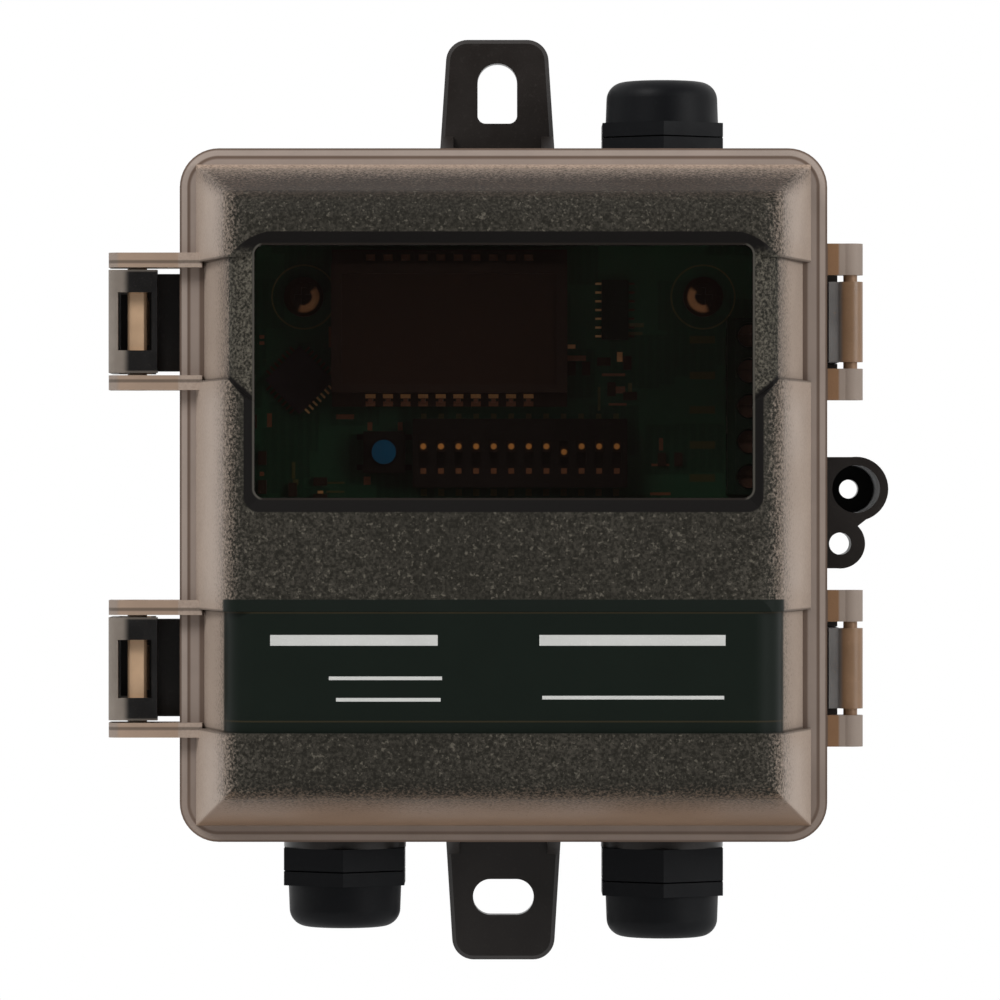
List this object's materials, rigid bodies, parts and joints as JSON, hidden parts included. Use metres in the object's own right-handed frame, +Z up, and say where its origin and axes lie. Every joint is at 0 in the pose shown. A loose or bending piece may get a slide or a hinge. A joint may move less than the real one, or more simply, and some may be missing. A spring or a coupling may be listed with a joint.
{
  "type": "differential pressure transmitter",
  "caption": "Wall-hung box with a hinged smoked cover and sight window, side latches, slotted wall tabs, cable glands and a circuit board with display and switches inside.",
  "frame": {"origin": "in the wall plane, at the centre of the cover's outline", "axes": "+X to the hinge side, +Z up, -Y towards the viewer; +Y points into the wall"},
  "size_m": [0.112, 0.055, 0.1363],
  "materials": {
    "housing_plastic": "fine moulded texture, dark brown-black",
    "smoked_plastic": "smoked translucent moulding, frosted outside, polished window",
    "pin_steel": "drawn pin",
    "gasket_foam": "soft cellular ring",
    "seal_rubber": "soft seal",
    "gland_nylon": "satin black nylon",
    "board_laminate": "green solder mask",
    "screw_steel": "plated steel",
    "display_housing": "dark frame around a glass face",
    "pin_gold": "plated pins",
    "switch_plastic": "black moulding",
    "slider_plastic": "orange sliders",
    "button_plastic": "blue button",
    "chip_epoxy": "moulded chip body",
    "small_part_ceramic": "small soldered parts",
    "terminal_plastic": "green terminal moulding"
  },
  "bodies": {
    "housing": {"amplifier_ic": "chip_epoxy", "base_housing": "housing_plastic", "board_screws": "screw_steel", "circuit_board": "board_laminate", "cover_gasket": "gasket_foam", "dip_switch_body": "switch_plastic", "display_module": "display_housing", "display_pins": "pin_gold", "gland_bottom_left_body": "gland_nylon", "gland_bottom_left_locknut": "gland_nylon", "gland_bottom_left_nut": "gland_nylon", "gland_bottom_left_seal": "seal_rubber", "gland_bottom_right_body": "gland_nylon", "gland_bottom_right_locknut": "gland_nylon", "gland_bottom_right_nut": "gland_nylon", "gland_bottom_right_seal": "seal_rubber", "gland_top_body": "gland_nylon", "gland_top_locknut": "gland_nylon", "gland_top_nut": "gland_nylon", "gland_top_seal": "seal_rubber", "hinge_arm_lower": "smoked_plastic", "hinge_arm_upper": "smoked_plastic", "hinge_pin_lower": "pin_steel", "hinge_pin_upper": "pin_steel", "microcontroller": "chip_epoxy", "output_terminal_block": "terminal_plastic", "output_terminal_screws": "screw_steel", "sensor_terminal_block": "terminal_plastic", "sensor_terminal_screws": "screw_steel", "small_components": "small_part_ceramic", "zero_switch_body": "switch_plastic"},
    "cover": {"cover": "smoked_plastic"},
    "latch_upper": {"latch_upper": "smoked_plastic"},
    "latch_lower": {"latch_lower": "smoked_plastic"},
    "zero_button": {"zero_button": "button_plastic"},
    "dip_slider_01": {"dip_slider_01": "slider_plastic"},
    "dip_slider_02": {"dip_slider_02": "slider_plastic"},
    "dip_slider_03": {"dip_slider_03": "slider_plastic"},
    "dip_slider_04": {"dip_slider_04": "slider_plastic"},
    "dip_slider_05": {"dip_slider_05": "slider_plastic"},
    "dip_slider_06": {"dip_slider_06": "slider_plastic"},
    "dip_slider_07": {"dip_slider_07": "slider_plastic"},
    "dip_slider_08": {"dip_slider_08": "slider_plastic"},
    "dip_slider_09": {"dip_slider_09": "slider_plastic"},
    "dip_slider_10": {"dip_slider_10": "slider_plastic"},
    "dip_slider_11": {"dip_slider_11": "slider_plastic"},
    "dip_slider_12": {"dip_slider_12": "slider_plastic"}
  },
  "joints": [
    {"name": "cover_hinge", "type": "hinge", "parent": "housing", "child": "cover", "pos_m": [0.0497, -0.032, 0], "axis": [0, 0, 1], "range_deg": [0, 120]},
    {"name": "latch_upper_turn", "type": "hinge", "parent": "cover", "child": "latch_upper", "pos_m": [-0.0524, -0.0334, 0.0248], "axis": [0, 0, 1], "range_deg": [0, 90]},
    {"name": "latch_lower_turn", "type": "hinge", "parent": "cover", "child": "latch_lower", "pos_m": [-0.0524, -0.0334, -0.0248], "axis": [0, 0, 1], "range_deg": [0, 90]},
    {"name": "zero_button_press", "type": "slide", "parent": "housing", "child": "zero_button", "axis": [0, 1, 0], "range_m": [0, 0.00025], "stiffness_N_per_m": 2000, "springref_m": -0.00005},
    {"name": "dip_slider_01_slide", "type": "slide", "parent": "housing", "child": "dip_slider_01", "axis": [0, 0, -1], "range_m": [0, 0.0019]},
    {"name": "dip_slider_02_slide", "type": "slide", "parent": "housing", "child": "dip_slider_02", "axis": [0, 0, -1], "range_m": [0, 0.0019]},
    {"name": "dip_slider_03_slide", "type": "slide", "parent": "housing", "child": "dip_slider_03", "axis": [0, 0, -1], "range_m": [0, 0.0019]},
    {"name": "dip_slider_04_slide", "type": "slide", "parent": "housing", "child": "dip_slider_04", "axis": [0, 0, -1], "range_m": [0, 0.0019]},
    {"name": "dip_slider_05_slide", "type": "slide", "parent": "housing", "child": "dip_slider_05", "axis": [0, 0, -1], "range_m": [0, 0.0019]},
    {"name": "dip_slider_06_slide", "type": "slide", "parent": "housing", "child": "dip_slider_06", "axis": [0, 0, -1], "range_m": [0, 0.0019]},
    {"name": "dip_slider_07_slide", "type": "slide", "parent": "housing", "child": "dip_slider_07", "axis": [0, 0, -1], "range_m": [0, 0.0019]},
    {"name": "dip_slider_08_slide", "type": "slide", "parent": "housing", "child": "dip_slider_08", "axis": [0, 0, -1], "range_m": [0, 0.0019]},
    {"name": "dip_slider_09_slide", "type": "slide", "parent": "housing", "child": "dip_slider_09", "axis": [0, 0, -1], "range_m": [-0.0008, 0.0011]},
    {"name": "dip_slider_10_slide", "type": "slide", "parent": "housing", "child": "dip_slider_10", "axis": [0, 0, -1], "range_m": [0, 0.0019]},
    {"name": "dip_slider_11_slide", "type": "slide", "parent": "housing", "child": "dip_slider_11", "axis": [0, 0, -1], "range_m": [0, 0.0019]},
    {"name": "dip_slider_12_slide", "type": "slide", "parent": "housing", "child": "dip_slider_12", "axis": [0, 0, -1], "range_m": [0, 0.0019]}
  ]
}
